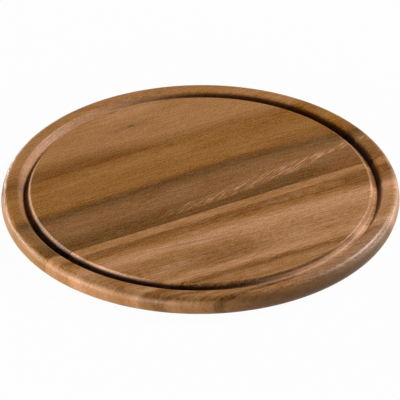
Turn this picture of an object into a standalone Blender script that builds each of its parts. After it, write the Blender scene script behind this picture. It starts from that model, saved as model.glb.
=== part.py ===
"""Round steak board: staves glued edge to edge, turned round, with a juice groove and a rounded edge.

Metres. X runs along the grain, Y across the staves, Z up from the table, with the origin at the centre
of the underside.
"""

import math

import bmesh
import bpy

# Driving sizes of the turned board.
BOARD_DIAMETER = 0.300
BOARD_THICKNESS = 0.016
EDGE_ROUND_REACH = 0.0056  # how far the rounded edge reaches in over the flat faces
GROOVE_INSET = 0.0168  # from the rim to the middle of the groove
GROOVE_WIDTH = 0.0103  # between the flats on its two sides, eased lips included
GROOVE_DEPTH = 0.0046
GROOVE_LIP_RADIUS = 0.00145

# The staves, and the glue between them.
FRONT_JOINT_OFFSET = 0.0270  # from the board's centre forward to the front joint
MIDDLE_STAVE_WIDTH = 0.0955
GLUE_FILM_THICKNESS = 0.0001
GLUE_CLEARANCE = 0.0001  # on each side of the film
GLUE_RECESS = 0.0002  # the film ends this far below the wood's surface

# Facets of the turned shape.
TURN_STEPS = 120
EDGE_STEPS = 12
LIP_STEPS = 3
CHANNEL_STEPS = 8
SHARP_EDGE_ANGLE = math.radians(35)

# Finishes: linear colour, roughness.
BACK_STAVE_WOOD = ((0.35, 0.165, 0.066), 0.42)
MIDDLE_STAVE_WOOD = ((0.26, 0.115, 0.036), 0.42)
FRONT_STAVE_WOOD = ((0.36, 0.17, 0.068), 0.42)
CURED_GLUE = ((0.09, 0.045, 0.018), 0.6)


def clear_scene():
    for thing in list(bpy.data.objects):
        bpy.data.objects.remove(thing, do_unlink=True)


def arc(centre, radii, start, end, steps):
    """Points on an elliptic arc, from one angle to another, both ends included."""
    points = []
    for step in range(steps + 1):
        angle = start + (end - start) * step / steps
        points.append((centre[0] + radii[0] * math.cos(angle), centre[1] + radii[1] * math.sin(angle)))
    return points


def edge_profile(below):
    """The rounded edge, from the underside up to the top, lying a depth below the wood's surface."""
    half_height = BOARD_THICKNESS / 2 - below
    centre = (BOARD_DIAMETER / 2 - below - EDGE_ROUND_REACH, BOARD_THICKNESS / 2)
    return arc(centre, (EDGE_ROUND_REACH, half_height), -math.pi / 2, math.pi / 2, EDGE_STEPS)


def groove_profile(below):
    """The juice groove, from its outer lip to its inner lip.

    Each lip turns down into the round channel. A groove deeper than half its width has straight walls.
    """
    wall = max(0.0, GROOVE_DEPTH - GROOVE_WIDTH / 2)
    lean = 2 * math.atan((GROOVE_DEPTH - wall) / (GROOVE_WIDTH / 2))
    both_radii = GROOVE_WIDTH / 2 / math.sin(lean)
    lip = GROOVE_LIP_RADIUS - below
    channel = both_radii - GROOVE_LIP_RADIUS + below
    middle = BOARD_DIAMETER / 2 - GROOVE_INSET
    lip_centre_height = BOARD_THICKNESS - GROOVE_LIP_RADIUS
    channel_centre = (middle, BOARD_THICKNESS - GROOVE_DEPTH + both_radii - GROOVE_LIP_RADIUS)
    down = math.pi / 2
    outer_lip_centre = (middle + GROOVE_WIDTH / 2, lip_centre_height)
    inner_lip_centre = (middle - GROOVE_WIDTH / 2, lip_centre_height)
    outer_lip = arc(outer_lip_centre, (lip, lip), down, down + lean, LIP_STEPS)
    inner_lip = arc(inner_lip_centre, (lip, lip), down - lean, down, LIP_STEPS)
    floor = arc(channel_centre, (channel, channel), lean - down, -lean - down, CHANNEL_STEPS)
    if wall == 0:
        floor = floor[1:-1]
    return outer_lip + floor + inner_lip


def turned_blank(below):
    """The whole board as turned from the glued panel, lying a depth below the wood's surface."""
    blank = bmesh.new()
    profile = edge_profile(below) + groove_profile(below)
    ring = [blank.verts.new((radius, 0, height)) for radius, height in profile]
    line = [blank.edges.new(pair) for pair in zip(ring, ring[1:])]
    bmesh.ops.spin(blank, geom=ring + line, axis=(0, 0, 1), angle=2 * math.pi, steps=TURN_STEPS,
                   use_merge=True, use_normal_flip=False)
    rims = [edge for edge in blank.edges if edge.is_boundary]
    bmesh.ops.holes_fill(blank, edges=rims, sides=0)
    bmesh.ops.recalc_face_normals(blank, faces=blank.faces)
    return blank


def cut_across(shape, place, keep_back):
    """Saws the shape along the grain at one place across it, and keeps its back or its front."""
    cut = bmesh.ops.bisect_plane(shape, geom=shape.verts[:] + shape.edges[:] + shape.faces[:],
                                 plane_co=(0, place, 0), plane_no=(0, 1, 0),
                                 clear_inner=keep_back, clear_outer=not keep_back)
    sawn = [part for part in cut["geom_cut"] if isinstance(part, bmesh.types.BMEdge)]
    bmesh.ops.contextual_create(shape, geom=sawn)


def finish(name, wood):
    colour, roughness = wood
    material = bpy.data.materials.new(name)
    material.use_nodes = True
    shader = material.node_tree.nodes["Principled BSDF"]
    shader.inputs["Base Color"].default_value = (*colour, 1)
    shader.inputs["Roughness"].default_value = roughness
    shader.inputs["Metallic"].default_value = 0
    return material


def slice_of_board(name, front, back, below, wood, board):
    """One piece of the turned board, between two places across the grain.

    None in a place means the board's own edge.
    """
    shape = turned_blank(below)
    if front is not None:
        cut_across(shape, front, True)
    if back is not None:
        cut_across(shape, back, False)
    bmesh.ops.recalc_face_normals(shape, faces=shape.faces)
    mesh = bpy.data.meshes.new(name)
    shape.to_mesh(mesh)
    shape.free()
    mesh.shade_smooth()
    mesh.set_sharp_from_angle(angle=SHARP_EDGE_ANGLE)
    mesh.materials.append(finish(name, wood))
    piece = bpy.data.objects.new(name, mesh)
    bpy.context.scene.collection.objects.link(piece)
    piece.parent = board


def main():
    clear_scene()
    board = bpy.data.objects.new("steak_board", None)
    bpy.context.scene.collection.objects.link(board)

    front_joint = -FRONT_JOINT_OFFSET
    back_joint = front_joint + MIDDLE_STAVE_WIDTH
    half_film = GLUE_FILM_THICKNESS / 2
    half_joint = half_film + GLUE_CLEARANCE

    staves = (
        ("stave_front", None, front_joint - half_joint, FRONT_STAVE_WOOD),
        ("stave_middle", front_joint + half_joint, back_joint - half_joint, MIDDLE_STAVE_WOOD),
        ("stave_back", back_joint + half_joint, None, BACK_STAVE_WOOD),
    )
    for name, front, back, wood in staves:
        slice_of_board(name, front, back, 0, wood, board)
    for name, joint in (("glue_line_front", front_joint), ("glue_line_back", back_joint)):
        slice_of_board(name, joint - half_film, joint + half_film, GLUE_RECESS, CURED_GLUE, board)


main()
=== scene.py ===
"""A round steak board of three glued staves, oiled, with a juice groove, on a pale floor."""

import math

import bmesh
import bpy
from mathutils import Matrix, Vector


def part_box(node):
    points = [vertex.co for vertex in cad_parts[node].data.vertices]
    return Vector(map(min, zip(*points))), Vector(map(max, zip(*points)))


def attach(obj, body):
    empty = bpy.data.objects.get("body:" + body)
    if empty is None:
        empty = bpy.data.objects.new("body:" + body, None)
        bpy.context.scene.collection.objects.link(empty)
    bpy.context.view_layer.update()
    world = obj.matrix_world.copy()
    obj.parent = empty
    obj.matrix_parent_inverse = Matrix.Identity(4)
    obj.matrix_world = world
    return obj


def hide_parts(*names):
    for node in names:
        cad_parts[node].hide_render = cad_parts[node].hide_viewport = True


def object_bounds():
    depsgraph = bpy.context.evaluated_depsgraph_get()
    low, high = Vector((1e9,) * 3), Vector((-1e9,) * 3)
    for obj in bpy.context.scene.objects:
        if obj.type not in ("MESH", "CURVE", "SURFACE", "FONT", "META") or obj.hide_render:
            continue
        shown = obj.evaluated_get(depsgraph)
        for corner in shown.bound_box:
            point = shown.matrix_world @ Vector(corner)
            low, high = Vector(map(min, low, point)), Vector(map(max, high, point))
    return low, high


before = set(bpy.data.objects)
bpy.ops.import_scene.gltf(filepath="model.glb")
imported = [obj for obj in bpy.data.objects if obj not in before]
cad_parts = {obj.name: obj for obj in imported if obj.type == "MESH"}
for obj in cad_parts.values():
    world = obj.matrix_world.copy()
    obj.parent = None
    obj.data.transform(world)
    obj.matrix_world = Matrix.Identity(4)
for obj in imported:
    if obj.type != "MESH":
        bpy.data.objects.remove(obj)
cad_low, cad_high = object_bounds()

# Sizes of the turned board, in metres.
BOARD_RADIUS = (cad_high.x - cad_low.x) / 2
BOARD_THICKNESS = cad_high.z - cad_low.z
EDGE_ROUND_REACH = 0.0056  # how far the rounded edge reaches in over the flat faces
GROOVE_INSET = 0.0178  # from the rim to the inner edge of the groove's flat floor
GROOVE_DEPTH = 0.0044
GROOVE_FLOOR = 0.0014
GROOVE_INNER_RUN = 0.0050  # from the floor to the flat inside the groove
GROOVE_OUTER_RUN = 0.0056  # from the floor to the flat outside it
GROOVE_INNER_LIP = 0.0026
GROOVE_OUTER_LIP = 0.0034
GROOVE_INNER_LEAN = math.radians(68)  # of the straight wall between the lip and the floor
GROOVE_OUTER_LEAN = math.radians(52)
GLUE_FILM = 0.0001
GLUE_RECESS = 0.00003
FLAT_MARGIN = 0.0004  # a strip of flat beside each rounding, so that the flats shade as flats

# Facets of the turned shape.
TURN_STEPS = 288
EDGE_STEPS = 28
OUTER_LIP_STEPS = 10
INNER_LIP_STEPS = 8
FLOOR_STEPS = 8
SHARP_EDGE_ANGLE = math.radians(40)
QUARTER_TURN = math.pi / 2


def joint_place(node):
    low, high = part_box(node)
    return (low.y + high.y) / 2


FRONT_JOINT = joint_place("glue_line_front")
BACK_JOINT = joint_place("glue_line_back")


def arc(centre, radii, start, end, steps):
    """Points on an elliptic arc, from one angle to another, both ends included."""
    points = []
    for step in range(steps + 1):
        angle = start + (end - start) * step / steps
        points.append((centre[0] + radii[0] * math.cos(angle), centre[1] + radii[1] * math.sin(angle)))
    return points


def side_radii(run, lip, lean, below):
    """The radii of one side's lip and floor, and the height of the floor's centre.

    A straight wall joins the lip to the floor.
    """
    both_radii = (run * math.sin(lean) - GROOVE_DEPTH * math.cos(lean)) / (1 - math.cos(lean))
    centre = BOARD_THICKNESS - GROOVE_DEPTH + both_radii - lip
    return lip - below, both_radii - lip + below, centre


def outer_side(below):
    """The groove's outer lip, and the floor's rounding below it."""
    lean = GROOVE_OUTER_LEAN
    lip, rounding, height = side_radii(GROOVE_OUTER_RUN, GROOVE_OUTER_LIP, lean, below)
    floor_edge = BOARD_RADIUS - GROOVE_INSET + GROOVE_FLOOR
    lip_centre = (floor_edge + GROOVE_OUTER_RUN, BOARD_THICKNESS - GROOVE_OUTER_LIP)
    lip_arc = arc(lip_centre, (lip, lip), QUARTER_TURN, QUARTER_TURN + lean, OUTER_LIP_STEPS)
    return lip_arc + arc((floor_edge, height), (rounding, rounding),
                         lean - QUARTER_TURN, -QUARTER_TURN, FLOOR_STEPS)


def inner_side(below):
    """The floor's rounding on the inside, and the groove's inner lip above it."""
    lean = GROOVE_INNER_LEAN
    lip, rounding, height = side_radii(GROOVE_INNER_RUN, GROOVE_INNER_LIP, lean, below)
    floor_edge = BOARD_RADIUS - GROOVE_INSET
    lip_centre = (floor_edge - GROOVE_INNER_RUN, BOARD_THICKNESS - GROOVE_INNER_LIP)
    lip_arc = arc(lip_centre, (lip, lip), QUARTER_TURN - lean, QUARTER_TURN, INNER_LIP_STEPS)
    return arc((floor_edge, height), (rounding, rounding),
               -QUARTER_TURN, -lean - QUARTER_TURN, FLOOR_STEPS) + lip_arc


def turned_profile(below):
    """Radius and height from the underside, round the edge and through the groove, to the inner flat.

    The profile lies a depth below the wood's surface.
    """
    top = BOARD_THICKNESS - below
    edge_centre = (BOARD_RADIUS - below - EDGE_ROUND_REACH, BOARD_THICKNESS / 2)
    edge_radii = (EDGE_ROUND_REACH, BOARD_THICKNESS / 2 - below)
    edge = arc(edge_centre, edge_radii, -QUARTER_TURN, QUARTER_TURN, EDGE_STEPS)
    outer = outer_side(below)
    inner = inner_side(below)
    underside = [(edge[0][0] - FLAT_MARGIN, below)]
    land = [(edge[-1][0] - FLAT_MARGIN, top), (outer[0][0] + FLAT_MARGIN, top)]
    plateau = [(inner[-1][0] - FLAT_MARGIN, top)]
    return underside + edge + land + outer + inner + plateau


def sawn(shape, place, keep_back):
    """Saws the shape along the grain at one place across it, and keeps its back or its front."""
    cut = bmesh.ops.bisect_plane(shape, geom=shape.verts[:] + shape.edges[:] + shape.faces[:],
                                 plane_co=(0, place, 0), plane_no=(0, 1, 0),
                                 clear_inner=keep_back, clear_outer=not keep_back)
    cut_edges = [part for part in cut["geom_cut"] if isinstance(part, bmesh.types.BMEdge)]
    bmesh.ops.contextual_create(shape, geom=cut_edges)


def board_piece(name, front, back, below):
    """One piece of the turned board, between two places across the grain.

    None in a place means the board's own edge.
    """
    shape = bmesh.new()
    ring = [shape.verts.new((radius, 0, height)) for radius, height in turned_profile(below)]
    line = [shape.edges.new(pair) for pair in zip(ring, ring[1:])]
    bmesh.ops.spin(shape, geom=ring + line, axis=(0, 0, 1), angle=2 * math.pi, steps=TURN_STEPS,
                   use_merge=True, use_normal_flip=False)
    bmesh.ops.holes_fill(shape, edges=[edge for edge in shape.edges if edge.is_boundary], sides=0)
    bmesh.ops.recalc_face_normals(shape, faces=shape.faces)
    if front is not None:
        sawn(shape, front, True)
    if back is not None:
        sawn(shape, back, False)
    bmesh.ops.recalc_face_normals(shape, faces=shape.faces)
    mesh = bpy.data.meshes.new(name)
    shape.to_mesh(mesh)
    shape.free()
    mesh.shade_smooth()
    mesh.set_sharp_from_angle(angle=SHARP_EDGE_ANGLE)
    piece = bpy.data.objects.new(name, mesh)
    bpy.context.scene.collection.objects.link(piece)
    return piece


class Reading:
    """A number that changes over a surface. Sums and products of readings add Math nodes."""

    def __init__(self, finish, socket):
        self.finish = finish
        self.socket = socket

    def __add__(self, other):
        return self.finish.maths("ADD", self, other)

    __radd__ = __add__

    def __sub__(self, other):
        return self.finish.maths("SUBTRACT", self, other)

    def __rsub__(self, other):
        return self.finish.maths("SUBTRACT", other, self)

    def __mul__(self, other):
        return self.finish.maths("MULTIPLY", self, other)

    __rmul__ = __mul__

    def __truediv__(self, other):
        return self.finish.maths("DIVIDE", self, other)

    def __rtruediv__(self, other):
        return self.finish.maths("DIVIDE", other, self)

    def __abs__(self):
        return self.finish.maths("ABSOLUTE", self)


class Finish:
    """The nodes of one finish, or of the light around the board."""

    NOISE_MIDDLE = 0.5  # of the noise node's own values
    NOISE_SPREAD = 3.2
    MIX_FIRST, MIX_SECOND, MIX_RESULT = 6, 7, 2  # the Mix node's sockets for colours

    def __init__(self, tree):
        self.tree = tree
        tree.nodes.clear()

    def node(self, kind, settings, sockets, out=0):
        """Adds a node: its settings first, then a value or a link for each of its sockets."""
        made = self.tree.nodes.new(kind)
        for key, value in settings.items():
            if key == "stops":
                self.set_stops(made.color_ramp, value)
            else:
                setattr(made, key, value)
        for key, value in sockets.items():
            if isinstance(value, Reading):
                value = value.socket
            if isinstance(value, bpy.types.NodeSocket):
                self.tree.links.new(value, made.inputs[key])
            else:
                made.inputs[key].default_value = value
        return made.outputs[out] if made.outputs else made

    def set_stops(self, ramp, stops):
        while len(ramp.elements) < len(stops):
            ramp.elements.new(1)
        for element, (place, colour) in zip(ramp.elements, stops):
            element.position = place
            element.color = colour

    def reading(self, kind, settings, sockets, out=0):
        return Reading(self, self.node(kind, settings, sockets, out))

    def maths(self, operation, *values):
        return self.reading("ShaderNodeMath", {"operation": operation}, dict(enumerate(values)))

    def strongest(self, *readings):
        """The highest of several readings at each place."""
        highest = readings[0]
        for reading in readings[1:]:
            highest = self.maths("MAXIMUM", highest, reading)
        return highest

    def step(self, value, start, end):
        """0 before start, 1 after end, smooth between."""
        sockets = {"Value": value, "From Min": start, "From Max": end}
        return self.reading("ShaderNodeMapRange", {"interpolation_type": "SMOOTHSTEP"}, sockets)

    def band(self, value, low, high, soft):
        """1 from low to high, and fading out over a distance on both sides."""
        return self.step(value, low - soft, low) * (1 - self.step(value, high, high + soft))

    def axis(self, vector, number):
        return self.reading("ShaderNodeSeparateXYZ", {}, {0: vector}, number)

    def point(self, x, y, z):
        return self.node("ShaderNodeCombineXYZ", {}, {0: x, 1: y, 2: z})

    def cloud(self, point, detail=2):
        """Soft noise about 0, mostly between -1 and 1, whose lumps are about one unit wide."""
        noise = self.reading("ShaderNodeTexNoise", {}, {"Vector": point, "Scale": 1, "Detail": detail})
        return (noise - self.NOISE_MIDDLE) * self.NOISE_SPREAD

    def ramp(self, value, low, high, stops):
        """Colours given at values between low and high."""
        placed = [((place - low) / (high - low), colour) for place, colour in stops]
        return self.node("ShaderNodeValToRGB", {"stops": placed}, {0: (value - low) / (high - low)})

    def blend(self, share, first, second):
        """A share of the way from one colour to another."""
        settings = {"data_type": "RGBA", "clamp_factor": True}
        sockets = {0: share, self.MIX_FIRST: first, self.MIX_SECOND: second}
        return self.node("ShaderNodeMix", settings, sockets, self.MIX_RESULT)

    def lit(self, colour, light):
        return self.node("ShaderNodeVectorMath", {"operation": "SCALE"}, {0: colour, "Scale": light})

    def seen_directly(self):
        """1 for what the camera, a mirror or glass sees, and 0 for light that falls on the board."""
        rays = ("Is Camera Ray", "Is Glossy Ray", "Is Transmission Ray")
        return self.strongest(*[self.reading("ShaderNodeLightPath", {}, {}, ray) for ray in rays])


SHEEN = 0.0095  # the light that the oiled surface adds to every tone
DARKEST_TONE = 0.003


def tone(red, green, blue):
    """A tone as a screen shows it, from 0 to 255, in linear light and without the sheen."""
    parts = []
    for part in (red / 255, green / 255, blue / 255):
        light = part / 12.92 if part <= 0.04045 else ((part + 0.055) / 1.055) ** 2.4
        parts.append(max(light - SHEEN, DARKEST_TONE))
    return (*parts, 1)


# Tones of the glue and the wood, dark to light.
GLUE_DARK = tone(70, 42, 20)
KNOT_DARK = tone(72, 40, 15)
GLUE_BROWN = tone(88, 55, 26)
BARK = tone(107, 71, 31)
OLIVE = tone(104, 72, 35)
PLUM = tone(114, 79, 45)
UMBER = tone(121, 78, 34)
COCOA = tone(127, 84, 42)
WALNUT = tone(136, 90, 42)
ROSE = tone(132, 92, 55)
AMBER = tone(143, 97, 48)
SAND = tone(149, 104, 63)
HONEY = tone(151, 105, 57)
DUSK = tone(148, 112, 87)
TAN = tone(159, 112, 70)
SHELL = tone(179, 131, 93)
FLECK = tone(204, 154, 117)


class Wood(Finish):
    """Oiled wood of one stave, whose colour is built up step by step.

    Places are in millimetres: x along the grain, y across, z up.
    """

    MILLIMETRES = 1000  # in a metre
    HALF_LENGTH = 150  # how far the grain runs from the middle
    EDGE_ROUGHNESS = 0.4
    OIL_SPECULAR = 0.2
    SHADE_LIGHT = 0.63  # the part of a shade that brightens the wood's own tone
    SHADE_HAZE = 0.16  # the part that adds plain grey
    BUMP_STRENGTH = 0.3
    BUMP_HEIGHT = 0.00008  # metres
    LUMP_DEPTH = 3  # how deep a lump of noise goes, in widths
    STIPPLE = 1.3  # how wide the finest spots are

    def __init__(self, name, seed):
        self.material = bpy.data.materials.new(name)
        self.material.use_nodes = True
        super().__init__(self.material.node_tree)
        self.seed = seed
        place = self.node("ShaderNodeTexCoord", {}, {}, "Object")
        self.x, self.y, self.z = (self.axis(place, k) * self.MILLIMETRES for k in range(3))
        self.depth = BOARD_THICKNESS * self.MILLIMETRES - self.z
        self.radius = self.maths("SQRT", self.x * self.x + self.y * self.y)
        faced = self.node("ShaderNodeNewGeometry", {}, {}, "Normal")
        self.facing_end = abs(self.axis(faced, 0))
        self.facing_up = self.axis(faced, 2)

    def drawn_out(self, along, across, length, width, number, detail):
        """Noise in lumps of a length and a width. Each number gives a pattern of its own."""
        rise = self.depth / (width * self.LUMP_DEPTH) + self.seed + number
        return self.cloud(self.point(along / length, across / width, rise), detail)

    def grain(self, length, width, number, across=None, detail=2):
        """Noise drawn out along the grain."""
        across = self.y if across is None else across
        return self.drawn_out(self.x, across, length, width, number, detail)

    def slanting(self, angle, length, width, number, detail=2):
        """Noise drawn out at an angle to the grain."""
        cosine, sine = math.cos(math.radians(angle)), math.sin(math.radians(angle))
        along = self.x * cosine + self.y * sine
        across = self.y * cosine - self.x * sine
        return self.drawn_out(along, across, length, width, number, detail)

    def course(self, stops):
        """A number that changes along the grain, given at places along it."""
        low = min(value for place, value in stops)
        span = max(value for place, value in stops) - low or 1
        shades = [(place, (*[(value - low) / span] * 3, 1)) for place, value in stops]
        along = self.ramp(self.x, -self.HALF_LENGTH, self.HALF_LENGTH, shades)
        return Reading(self, along) * span + low

    def line(self, stops, half, soft, start, end, fade):
        """1 on a line along the grain, of a half width, from one place along it to another."""
        waver = self.grain(16, 8, 21) * 0.5
        off = abs(self.y - self.course(stops) + waver)
        return (1 - self.step(off, half, half + soft)) * self.band(self.x, start, end, fade)

    def spot(self, x, y, length, width, soft):
        """1 in an ellipse drawn out along the grain, fading at its edge."""
        along, across = (self.x - x) / length, (self.y - y) / width
        return 1 - self.step(self.maths("SQRT", along * along + across * across), 1 - soft, 1 + soft)

    def toward(self, bearing, start, end):
        """0 to 1 between two distances from the middle, towards a bearing in degrees from x to y."""
        bearing = math.radians(bearing)
        return self.step(self.x * math.cos(bearing) + self.y * math.sin(bearing), start, end)

    def tint(self, other, where, share=1):
        """Takes the wood's colour a share of the way to another, where a reading is 1."""
        self.colour = self.blend(where * share, self.colour, other)

    def darken(self, share):
        """Takes a share of the wood's light away."""
        self.colour = self.lit(self.colour, 1 - share)

    def shade(self, light):
        """Lightens or darkens the wood by a share of its light, and a little towards grey or brown."""
        haze = light * self.SHADE_HAZE
        self.colour = self.node("ShaderNodeVectorMath", {"operation": "ADD"}, {
            0: self.lit(self.colour, 1 + light * self.SHADE_LIGHT), 1: self.point(haze, haze, haze)})

    def inner_wall(self):
        """1 on the groove's inner wall."""
        return self.band(self.radius, 127.4, 133.2, 0.4)

    def upper_wall(self):
        """1 on the upper part of that wall, in front."""
        return self.inner_wall() * self.band(self.depth, 0.25, 1.5, 0.3) * self.toward(266.3, 108, 122)

    def paint_groove_shade_and_light(self, upper_wall):
        """Paints shade into the groove, and light onto parts of its walls."""
        # Painted shade darkens the floor, but for its back on the left and its front on the right.
        back_left = self.toward(121, 70, 120)
        front_right = self.toward(286.3, 92, 118)
        floor = self.step(self.depth, 1.5, 3) * self.band(self.radius, 133.4, 136.2, 0.9)
        floor *= (1 - back_left) * (1 - front_right)
        # Painted shade on the inner wall in front on the left, and only on its upper part on the right
        # of that.
        wall = self.inner_wall() * self.step(self.depth, 0.2, 1.8) * self.toward(226.2, 85.2, 118.3)
        self.darken(floor * 0.65 + wall * 0.6 + upper_wall * (1 - wall) * 0.55)
        # Painted light on that wall's lower part on the right, and a painted highlight on the outer
        # wall at the back on the left.
        lower = self.step(self.depth, 1.2, 2.2) * self.band(self.radius, 128, 134, 0.4)
        lower *= self.toward(286.3, 110, 124)
        outer = self.step(self.depth, 0.8, 2) * self.band(self.radius, 133, 139, 0.5) * back_left
        self.shade(lower * 0.4 + outer * 0.3)

    def paint_edge_shade(self):
        """Paints shade on the edge: on its top in front, and on its side on the right of that."""
        on_top = self.toward(241, 95, 122) * (1 - self.step(self.depth, 2, 3.5))
        on_side = self.toward(279.8, 118, 142) * self.step(self.depth, 1, 4)
        self.darken((on_top * 0.28 + on_side * 0.48) * self.step(self.radius, 144, 148))

    def paint_highlights(self):
        """Paints highlights on the groove's inner lip at both ends, and on the rim's left shoulder."""
        lip = self.band(self.radius, 128.2, 130.3, 0.6) * (1 - self.step(self.depth, 2, 3.5))
        ends = self.toward(180, 82, 112) * 0.85 + self.toward(344, 121, 127) * 0.35
        shoulder = self.band(self.depth, 2.2, 5, 1.5) * self.toward(198.7, 136, 146)
        self.shade(lip * ends + shoulder * 0.14)

    def surfaced(self, roughness, specular, **sockets):
        """Ends the nodes with the surface, and gives the finished material."""
        sockets.update({"Base Color": self.colour, "Roughness": roughness})
        sockets["Specular IOR Level"] = specular
        shader = self.node("ShaderNodeBsdfPrincipled", {}, sockets)
        self.node("ShaderNodeOutputMaterial", {}, {"Surface": shader})
        return self.material

    def oiled(self, layer, lively=1.0):
        """Adds grain, pores, end grain, painted shade and painted highlights to the stave's own tones,
        and the oiled surface.
        """
        streak = self.grain(80, 2.6, 11, layer, 3)
        strand = self.grain(24, 1.4, 15, layer)
        fibre = self.grain(7, 1.0, 12, layer)
        patch = self.grain(45, 16, 13)
        place = self.point(self.x / self.STIPPLE, self.y / self.STIPPLE, self.depth / self.STIPPLE)
        stipple = self.cloud(place, 1)
        pore = self.step(self.grain(4, 0.8, 14, self.y, 1), 0.45, 0.9)
        light = patch * 0.04 + (streak * 0.08 + strand * 0.14 + fibre * 0.17) * lively + stipple * 0.25
        # The rounded edge was sanded smooth and shows its grain less.
        light *= 0.4 + 0.6 * self.step(self.facing_up, 0.3, 0.9)
        self.shade(light)
        self.tint(self.lit(self.colour, 0.6), pore, 0.25)
        # End grain is a little darker, and dotted.
        dots = self.cloud(self.point(self.x / 6, self.y / 0.9, self.z / 0.9))
        end_grain = self.step(self.facing_end, 0.25, 0.95)
        self.tint(self.lit(self.colour, 0.92 + dots * 0.14), end_grain)
        # Painted shade and light in the groove, painted shade on the edge, and painted highlights on
        # the lips and the rim's shoulder.
        upper_wall = self.upper_wall()
        self.paint_groove_shade_and_light(upper_wall)
        self.paint_edge_shade()
        self.paint_highlights()
        in_groove = self.step(self.depth, 0.1, 0.5) * (1 - self.step(self.radius, 138, 140))
        on_flat = self.step(abs(self.facing_up), 0.97, 0.995)
        roughness = self.EDGE_ROUGHNESS + in_groove * 0.08 + upper_wall * 0.48 + on_flat * 0.2
        roughness += fibre * 0.05 - streak * 0.03 + pore * 0.1
        rise = fibre * 0.5 + strand * 0.4 - pore * 0.8 + stipple * 0.4
        bump = self.node("ShaderNodeBump", {}, {
            "Strength": self.BUMP_STRENGTH, "Distance": self.BUMP_HEIGHT, "Height": rise})
        return self.surfaced(roughness, self.OIL_SPECULAR, Normal=bump)


def back_stave_wood():
    wood = Wood("back_stave_wood", 3)
    # The dark wood beside the joint reaches farther back on the left, with a ragged edge.
    reach = wood.course((
        (-130, 2), (-65, 3), (-30, 1), (5, -5.5), (40, -8), (75, -8), (105, -12), (140, -13)))
    ragged = wood.grain(22, 5, 2) * 1.8 + wood.grain(9, 2.4, 3) * 0.8
    layer = wood.y + wood.grain(110, 24, 1) * 1.2 + wood.depth * 0.25
    wood.colour = wood.ramp(layer - reach + ragged, 60, 175, (
        (72, UMBER), (88.5, TAN), (118, TAN), (130, HONEY), (136, TAN), (142, SAND), (150, TAN)))
    # A pale patch by the groove's back.
    wood.tint(SHELL, wood.spot(5, 121, 26, 7, 0.6), 0.6)
    # A small knot with a tail and a shade round it, and a fleck behind it.
    knot = wood.spot(-3.4, 102.9, 3.2, 1.2, 0.5) * 0.7
    tail = wood.spot(-11, 101.6, 11, 1.2, 0.8) * 0.3
    fleck = wood.spot(-6, 126, 3, 0.8, 0.6) * 0.4
    shade = wood.spot(-4, 102.5, 18, 4.5, 0.9) * 0.2
    wood.tint(KNOT_DARK, wood.strongest(knot, tail, fleck, shade))
    return wood.oiled(layer, 0.8)


def middle_stave_wood():
    wood = Wood("middle_stave_wood", 29)
    droop = wood.course(((-150, 0.5), (-60, 0), (45, -1), (85, 2), (110, 4.5), (150, 7)))
    ragged = wood.grain(24, 5, 5) * 1.1 + wood.grain(10, 2.4, 6) * 0.6
    layer = wood.y + wood.grain(120, 26, 1) * 0.8 + droop + wood.depth * 0.3
    wood.colour = wood.ramp(layer + ragged, -40, 80, (
        (-24, BARK), (-17, BARK), (-12.5, PLUM), (-6, ROSE), (9.5, ROSE), (17, PLUM),
        (20.5, OLIVE), (22.5, OLIVE), (25, UMBER), (27.5, WALNUT), (30.5, AMBER), (48, AMBER),
        (56, HONEY), (62, AMBER), (66, WALNUT)))
    # Browner gold towards the back at both ends, and brown wood behind the stripe on the right.
    brown_ends = wood.strongest(wood.spot(92, 55, 55, 8, 0.8), wood.spot(-125, 63, 45, 8, 0.8))
    wood.tint(WALNUT, brown_ends, 0.9)
    wood.tint(UMBER, wood.spot(110, 26, 38, 7, 0.7), 0.5)
    # Lighter brown wood by the front joint, on the right.
    by_joint = wood.step(wood.x, 70, 115) * (1 - wood.step(wood.y, -20, -9))
    wood.tint(COCOA, by_joint, 0.8)
    # A pale figured streak crosses the stave's front at a slant, in short slanting flecks.
    middle = wood.course((
        (-60, -19), (-30, -16.8), (5, -14.6), (40, -10.8), (75, -6.4), (105, -1.8), (140, 3)))
    half = wood.course(((-60, 1.5), (-30, 5.2), (5, 6.2), (40, 7.8), (75, 7.4), (105, 4.2), (140, 3)))
    off = wood.y - middle + wood.grain(14, 9, 2) * 0.8
    inside = (1 - wood.step(abs(off) / half, 0.35, 1.1)) * wood.step(wood.x, -60, 5)
    flecks = wood.step(wood.slanting(24, 14, 1.1, 3, 1), 0.0, 0.5)
    gaps = wood.step(wood.slanting(22, 14, 1.2, 4, 1), 0.1, 0.6)
    wood.tint(SAND, inside, 0.55)
    wood.tint(BARK, inside * gaps, 0.5)
    wood.tint(FLECK, inside * flecks, 0.7)
    # Dark olive wood runs between the streak and the front joint.
    under = wood.band(wood.y - middle, -17, -10, 2.5)
    under *= wood.step(wood.x, -20, 20) * (1 - wood.step(wood.x, 55, 90))
    wood.tint(OLIVE, under, 0.6)
    # The rim shows golden wood on the left.
    golden = wood.step(wood.radius, 145.5, 148.5) * wood.step(wood.depth, 0.6, 2)
    golden *= 1 - wood.step(wood.x, -90, -50)
    wood.tint(HONEY, golden, 0.65)
    # A dark speck in front of the olive stripe.
    speck = wood.spot(45, 13, 1.5, 0.7, 0.5)
    wood.tint(KNOT_DARK, speck, 0.6)
    return wood.oiled(layer)


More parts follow.
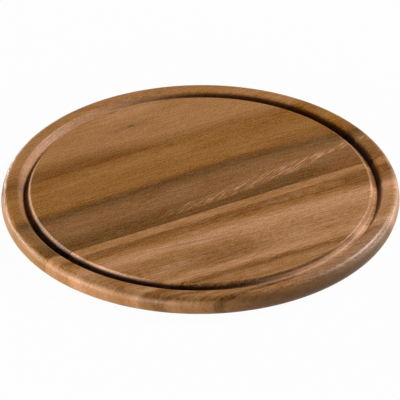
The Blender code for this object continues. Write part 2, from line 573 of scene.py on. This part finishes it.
def front_stave_wood():
    wood = Wood("front_stave_wood", 57)
    # The layers drift across the grain by the joint, by the pale band and by the groove.
    by_joint = wood.band(wood.y, -56, -45, 4)
    by_pale_band = wood.band(wood.y, -78, -60, 5)
    by_groove = 1 - wood.step(wood.y, -98, -88)
    drift = by_joint * wood.course((
        (-150, -1), (-60, -0.5), (0, 0.5), (40, 2.3), (75, 4), (110, 4.5), (150, 4)))
    drift += by_pale_band * wood.course((
        (-110, -5), (-60, -3.5), (-20, 0), (10, 3), (60, 2), (110, 2)))
    drift += by_groove * wood.course(((-70, 0.5), (-30, 0.5), (5, 1.5), (40, 1.5), (80, 2.5)))
    ragged = wood.grain(30, 5, 6) + wood.grain(10, 2.4, 7) * 0.5
    layer = wood.y + wood.grain(90, 18, 1) * 0.9 + drift + wood.depth * 0.2
    wood.colour = wood.ramp(layer + ragged, -160, -20, (
        (-146, TAN), (-140, SAND), (-132, SAND), (-127, TAN), (-122, SAND), (-117, TAN), (-113, SAND),
        (-108.5, COCOA), (-104, TAN), (-99.5, SHELL), (-95, TAN), (-89, SAND), (-76, SAND), (-70, TAN),
        (-64, SHELL), (-57, SHELL), (-50.5, TAN), (-46, AMBER), (-42.5, COCOA), (-38.5, COCOA),
        (-35.5, TAN)))
    # A strip of dark wood along the joint, and paler wood on the rim's left.
    strip = wood.step(wood.y, -28.2, -27.9) * (1 - wood.step(wood.radius, 138, 143))
    wood.tint(BARK, strip, 0.95)
    rim_tan = wood.spot(-143, -41, 9, 8, 0.5) * wood.step(wood.radius, 143, 146)
    wood.tint(TAN, rim_tan, 0.7)
    rim_pale = wood.spot(-127, -77, 16, 10, 0.7) * wood.step(wood.radius, 144, 147)
    wood.tint(SHELL, rim_pale, 0.5)
    # Lighter wood on the right and at the left, and a darker patch left of the middle.
    pale = wood.step(wood.x, -20, 25) * wood.band(wood.y, -104, -60, 8)
    wood.tint(SHELL, pale, 0.4)
    wood.tint(SHELL, wood.spot(-68, -86, 28, 3.5, 0.7), 0.6)
    wood.tint(COCOA, wood.spot(-30, -85, 32, 9, 0.7), 0.6)
    # The wood near the joint is lighter on the right, and dark again at its end.
    wood.tint(TAN, wood.spot(72, -42, 24, 4, 0.6), 0.4)
    far_right = wood.step(wood.x, 85, 108) * wood.band(wood.y, -54, -37, 5)
    wood.tint(COCOA, far_right, 0.7)
    # Greyer wood outside the groove on the right.
    greyer = wood.step(wood.x, -10, 25) * (1 - wood.step(wood.x, 80, 110))
    greyer *= wood.step(wood.radius, 138, 141) * (1 - wood.step(wood.depth, 1.5, 4.5))
    wood.tint(DUSK, greyer, 0.7)
    # A thin dark line along the grain, a wavy one near the front groove, and three rings on the rim.
    thin = wood.line(((-70, -57.5), (-54, -58.8), (-2, -65.2), (20, -67.5)), 0.4, 1.4, -50, -4, 14)
    wavy = wood.line(((-80, -106), (-30, -109), (0, -110), (40, -106)), 1.5, 2.4, -85, 12, 14)
    first = wood.line(((-120, -102), (-105, -105), (-85, -109)), 0.8, 2.5, -112, -95, 8)
    second = wood.line(((-105, -112), (-93, -115), (-68, -122), (-50, -124)), 0.7, 1.8, -104, -68, 10)
    third = wood.line(((-70, -137), (-20, -138.6), (10, -139)), 0.9, 1.4, -66, 0, 10)
    rings = wood.strongest(first * 0.5, second * 0.8, third * 0.95) * wood.step(wood.radius, 134, 138)
    wood.tint(PLUM, thin, 0.4)
    wood.tint(UMBER, wavy, 0.65)
    wood.tint(PLUM, rings)
    # Curly figure: short pale and dark flecks across the grain.
    curly = wood.band(wood.y, -84, -58, 8) * wood.band(wood.x, -10, 95, 30)
    wood.shade(wood.slanting(24, 4, 1.3, 5) * curly * 0.16)
    # Grain torn up where the cutter ran across it, on the groove's inner lip.
    lip = wood.band(wood.radius, 128.4, 131, 0.4) * wood.band(wood.depth, 0.3, 2.6, 0.5)
    lip *= wood.band(wood.x, -74, -20, 8) * (1 - wood.step(wood.y, -104, -90))
    tears = wood.cloud(wood.point(wood.x / 1.1, wood.y / 2.2, wood.z / 1.5), 1)
    wood.tint(KNOT_DARK, lip * wood.step(tears, 0.0, 0.4), 0.35)
    wood.tint(FLECK, lip * (1 - wood.step(tears, -0.4, 0.0)), 0.5)
    return wood.oiled(layer, 1.5)


def cured_glue():
    wood = Wood("cured_glue", 83)
    wood.colour = wood.blend(wood.grain(20, 3, 1) * 0.3 + 0.4, GLUE_BROWN, GLUE_DARK)
    return wood.surfaced(roughness=0.55, specular=0.18)


def make_board():
    half_film = GLUE_FILM / 2
    before_front, behind_front = FRONT_JOINT - half_film, FRONT_JOINT + half_film
    before_back, behind_back = BACK_JOINT - half_film, BACK_JOINT + half_film
    finishes = {
        "front_stave_wood": front_stave_wood(),
        "middle_stave_wood": middle_stave_wood(),
        "back_stave_wood": back_stave_wood(),
        "cured_glue": cured_glue(),
    }
    pieces = (
        ("stave_front_turned", "stave_front", "front_stave_wood", None, before_front, 0),
        ("stave_middle_turned", "stave_middle", "middle_stave_wood", behind_front, before_back, 0),
        ("stave_back_turned", "stave_back", "back_stave_wood", behind_back, None, 0),
        ("glue_film_front", "glue_line_front", "cured_glue", before_front, behind_front, GLUE_RECESS),
        ("glue_film_back", "glue_line_back", "cured_glue", before_back, behind_back, GLUE_RECESS),
    )
    for name, node, slot, front, back, below in pieces:
        piece = board_piece(name, front, back, below)
        piece.data.materials.append(finishes[slot])
        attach(piece, "root")
        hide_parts(node)


# The photograph's view: from in front and a little to the left, through a long lens.
VIEW_AZIMUTH = math.radians(-28.72)
VIEW_ELEVATION = math.radians(33.11)
VIEW_ROLL = math.radians(-0.371)
VIEW_DISTANCE = 12
PIXELS_PER_METRE = 1328.8
IMAGE_WIDTH = 400
BOARD_RIGHT_OF_CENTRE = 0.33  # pixels
BOARD_ABOVE_CENTRE = 10.5
SENSOR_WIDTH = 36  # millimetres
FARTHEST_SEEN = 50

VIEW_BACK = Vector((math.sin(VIEW_AZIMUTH) * math.cos(VIEW_ELEVATION),
                    -math.cos(VIEW_AZIMUTH) * math.cos(VIEW_ELEVATION), math.sin(VIEW_ELEVATION)))
VIEW_RIGHT = Vector((math.cos(VIEW_AZIMUTH), math.sin(VIEW_AZIMUTH), 0))
VIEW_AWAY = Vector((-math.sin(VIEW_AZIMUTH), math.cos(VIEW_AZIMUTH), 0))


def make_camera():
    up = VIEW_BACK.cross(VIEW_RIGHT)
    right = VIEW_RIGHT * math.cos(VIEW_ROLL) + up * math.sin(VIEW_ROLL)
    up = VIEW_BACK.cross(right)
    lens = bpy.data.cameras.new("photo_camera")
    lens.sensor_width = SENSOR_WIDTH
    lens.lens = PIXELS_PER_METRE * VIEW_DISTANCE * SENSOR_WIDTH / IMAGE_WIDTH
    lens.clip_end = FARTHEST_SEEN
    camera = bpy.data.objects.new("photo_camera", lens)
    bpy.context.scene.collection.objects.link(camera)
    aim = Vector((0, 0, BOARD_THICKNESS)) - right * (BOARD_RIGHT_OF_CENTRE / PIXELS_PER_METRE)
    aim -= up * (BOARD_ABOVE_CENTRE / PIXELS_PER_METRE)
    turn = Matrix((right, up, VIEW_BACK)).transposed()
    camera.matrix_world = Matrix.Translation(aim + VIEW_BACK * VIEW_DISTANCE) @ turn.to_4x4()
    bpy.context.scene.camera = camera


# Low lamps round the rim: bearing and elevation in degrees, width and height in metres, and the shares
# of their light and of their glint.
RIM_LAMPS = (
    ("back_left_strip", 159, 7, 0.7, 0.14, 0.065, 0.07),
    ("back_strip", 123, 7, 0.3, 0.14, 0.004, 0.022),
    ("left_strip", 203, 6, 0.6, 0.12, 0.092, 0.06),
    ("front_strip", 248, 9, 0.4, 0.12, 0.072, 0.1),
    ("right_softbox", 20, 16, 1.0, 0.4, 0.075, 0.17),
)
RIM_LAMP_DISTANCE = 1.0
GLINT_ELEVATION = 0.43
GLINT_HEIGHT = 0.013

# The studio around the board.
AMBIENT_SHARE = 0.01
CEILING_SHARE = 0.04
SWEEP_FADES_FROM = 0.06  # the sine of the elevation where the white sweep turns into the ceiling
SWEEP_ENDS_AT = 0.3
FLOOR_HALF_WIDTH = 4
FLOOR_DROP = 0.0003  # below the board, so that the two don't share a plane
PAPER_GREY = 0.45  # the share of light that the floor throws back on the board
PAPER_WHITENESS = 0.975  # the share of plain white in the floor that the camera sees
WHITE = (1, 1, 1, 1)


def softbox(name, bearing, elevation, distance, width, height, share):
    """A soft lamp. The bearing runs from the picture's right towards its back.

    The share is the lamp's part of the light on a level white surface.
    """
    bearing, elevation = math.radians(bearing), math.radians(elevation)
    level = VIEW_RIGHT * math.cos(bearing) + VIEW_AWAY * math.sin(bearing)
    direction = level * math.cos(elevation) + Vector((0, 0, math.sin(elevation)))
    light = bpy.data.lights.new(name, "AREA")
    light.shape = "RECTANGLE"
    light.size = width
    light.size_y = height
    light.energy = share * math.pi ** 2 * distance ** 2 / math.sin(elevation)
    lamp = bpy.data.objects.new(name, light)
    bpy.context.scene.collection.objects.link(lamp)
    lamp.location = direction * distance
    lamp.rotation_mode = "QUATERNION"
    lamp.rotation_quaternion = direction.to_track_quat("Z", "Y")
    return lamp


def rim_lamp(name, bearing, elevation, width, height, share, glint_share):
    """A low soft lamp for the rim, whose light and glint come from two places.

    The glint comes from below the board's top, so that the top mirrors none of it.
    """
    lamp = softbox(name, bearing, elevation, RIM_LAMP_DISTANCE, width, height, share)
    lamp.visible_glossy = False
    # The glint has the power that its share would need at the lamp's own elevation.
    lowered = math.sin(math.radians(GLINT_ELEVATION)) / math.sin(math.radians(elevation))
    glint = softbox(name + "_glint", bearing, GLINT_ELEVATION, RIM_LAMP_DISTANCE, width, GLINT_HEIGHT,
                    glint_share * lowered)
    glint.visible_diffuse = False


def make_light():
    softbox("key_softbox", bearing=30, elevation=37, distance=3, width=0.35, height=0.35, share=0.755)
    for lamp in RIM_LAMPS:
        rim_lamp(*lamp)
    world = bpy.data.worlds.new("studio")
    world.use_nodes = True
    bpy.context.scene.world = world
    sky = Finish(world.node_tree)
    rise = sky.axis(sky.node("ShaderNodeTexCoord", {}, {}, "Generated"), 2)
    sweep = 1 - sky.step(rise, SWEEP_FADES_FROM, SWEEP_ENDS_AT) * (1 - CEILING_SHARE)
    strength = AMBIENT_SHARE + sky.seen_directly() * (sweep - AMBIENT_SHARE)
    light = sky.node("ShaderNodeBackground", {}, {"Color": WHITE, "Strength": strength})
    sky.node("ShaderNodeOutputWorld", {}, {"Surface": light})


def make_floor():
    mesh = bpy.data.meshes.new("floor")
    shape = bmesh.new()
    bmesh.ops.create_grid(shape, x_segments=1, y_segments=1, size=FLOOR_HALF_WIDTH)
    shape.to_mesh(mesh)
    shape.free()
    floor = bpy.data.objects.new("floor", mesh)
    floor.location.z = -FLOOR_DROP
    bpy.context.scene.collection.objects.link(floor)
    paper = bpy.data.materials.new("floor_paper")
    paper.use_nodes = True
    finish = Finish(paper.node_tree)
    matt = finish.node("ShaderNodeBsdfDiffuse", {}, {"Color": (PAPER_GREY, PAPER_GREY, PAPER_GREY, 1)})
    white = finish.node("ShaderNodeEmission", {}, {"Color": WHITE, "Strength": 1})
    share = finish.seen_directly() * PAPER_WHITENESS
    seen = finish.node("ShaderNodeMixShader", {}, {0: share, 1: matt, 2: white})
    finish.node("ShaderNodeOutputMaterial", {}, {"Surface": seen})
    mesh.materials.append(paper)


make_board()
make_floor()
make_light()
make_camera()
bpy.context.scene.view_settings.view_transform = "Standard"
